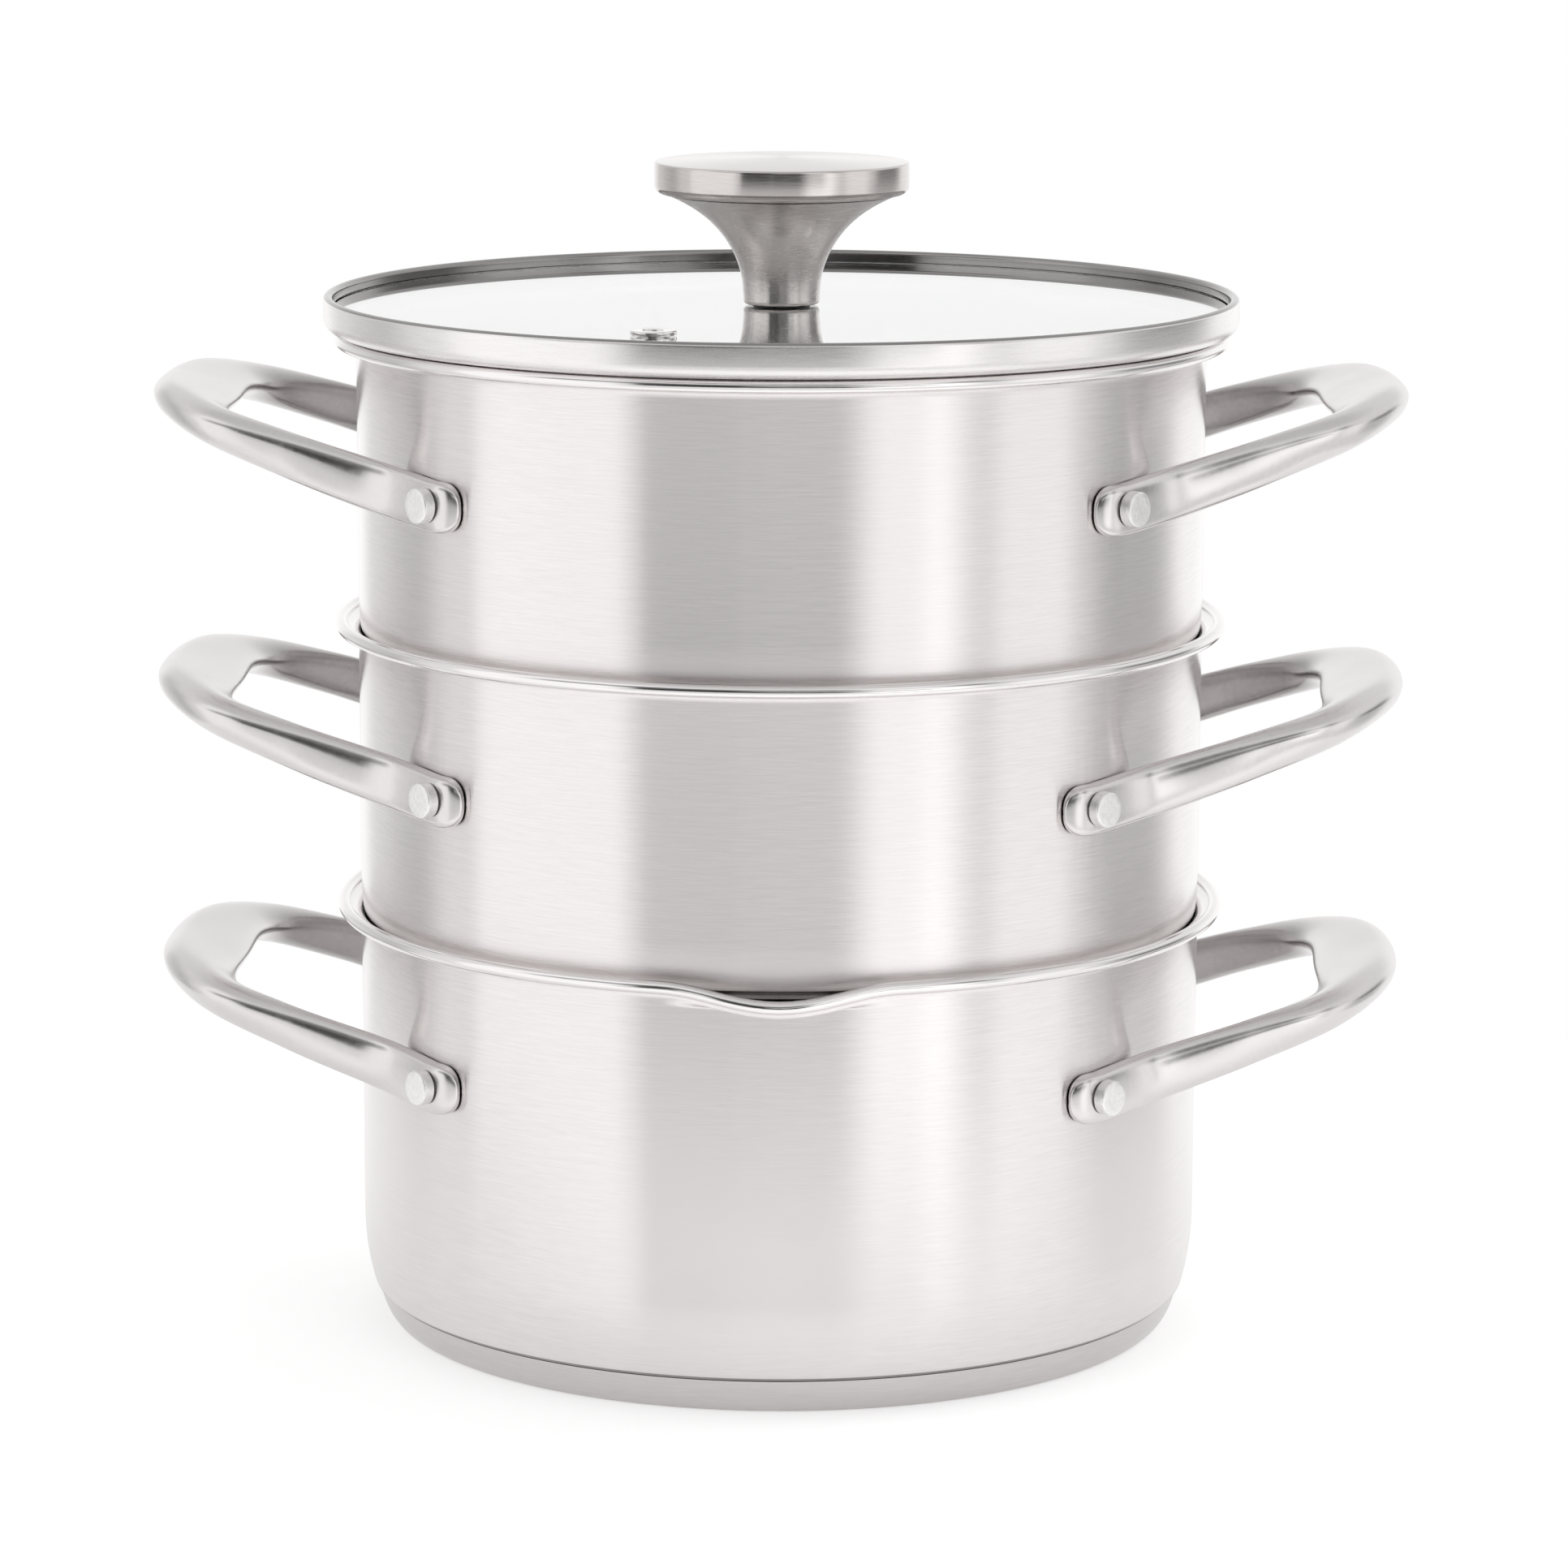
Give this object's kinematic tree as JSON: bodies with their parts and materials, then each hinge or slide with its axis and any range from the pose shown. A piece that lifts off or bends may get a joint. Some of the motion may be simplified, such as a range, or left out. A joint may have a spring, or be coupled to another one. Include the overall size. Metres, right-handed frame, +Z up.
{
  "type": "three tier steamer pot",
  "caption": "Stainless steel steamer set: a pot with a pouring lip, stacking pierced steamers with side loop handles, and a flat glass lid with a flared steel knob",
  "frame": {"origin": "the middle of the flat underside that the pot stands on", "axes": "+Z up through the stack, +X along the handles, -Y toward the pouring lip"},
  "size_m": [0.2974, 0.2189, 0.2798],
  "materials": {
    "brushed_steel": "fine horizontal brushing on the walls and the base",
    "polished_steel": "polished, on the handles, the lid's band and the small steel parts",
    "knob_steel": "satin, turned",
    "rivet_steel": "dull, slightly rough ends",
    "aluminium_core": "plain, hidden in the base",
    "clear_glass": "clear and smooth",
    "silicone": "matte"
  },
  "bodies": {
    "pot": {"pot_shell": "brushed_steel", "base_cap": "brushed_steel", "base_core": "aluminium_core", "pot_handle_left": "polished_steel", "pot_handle_right": "polished_steel", "pot_rivet_left_front": "rivet_steel", "pot_rivet_left_back": "rivet_steel", "pot_rivet_right_front": "rivet_steel", "pot_rivet_right_back": "rivet_steel"},
    "middle_steamer": {"middle_shell": "brushed_steel", "middle_handle_left": "polished_steel", "middle_handle_right": "polished_steel", "middle_rivet_left_front": "rivet_steel", "middle_rivet_left_back": "rivet_steel", "middle_rivet_right_front": "rivet_steel", "middle_rivet_right_back": "rivet_steel"},
    "top_steamer": {"top_shell": "brushed_steel", "top_handle_left": "polished_steel", "top_handle_right": "polished_steel", "top_rivet_left_front": "rivet_steel", "top_rivet_left_back": "rivet_steel", "top_rivet_right_front": "rivet_steel", "top_rivet_right_back": "rivet_steel"},
    "lid": {"lid_rim": "polished_steel", "lid_glass": "clear_glass", "steam_vent": "polished_steel", "knob_stem": "knob_steel", "knob_cap": "knob_steel", "knob_insert": "polished_steel", "knob_gasket": "silicone", "glass_pad_washer": "silicone", "screw_washer": "polished_steel", "knob_screw": "polished_steel"}
  },
  "joints": [
    {"name": "middle_steamer_lift", "type": "slide", "parent": "pot", "child": "middle_steamer", "axis": [0, 0, 1], "range_m": [0, 0.06]},
    {"name": "top_steamer_lift", "type": "slide", "parent": "middle_steamer", "child": "top_steamer", "axis": [0, 0, 1], "range_m": [0, 0.06]},
    {"name": "lid_lift", "type": "slide", "parent": "top_steamer", "child": "lid", "axis": [0, 0, 1], "range_m": [0, 0.06]}
  ]
}
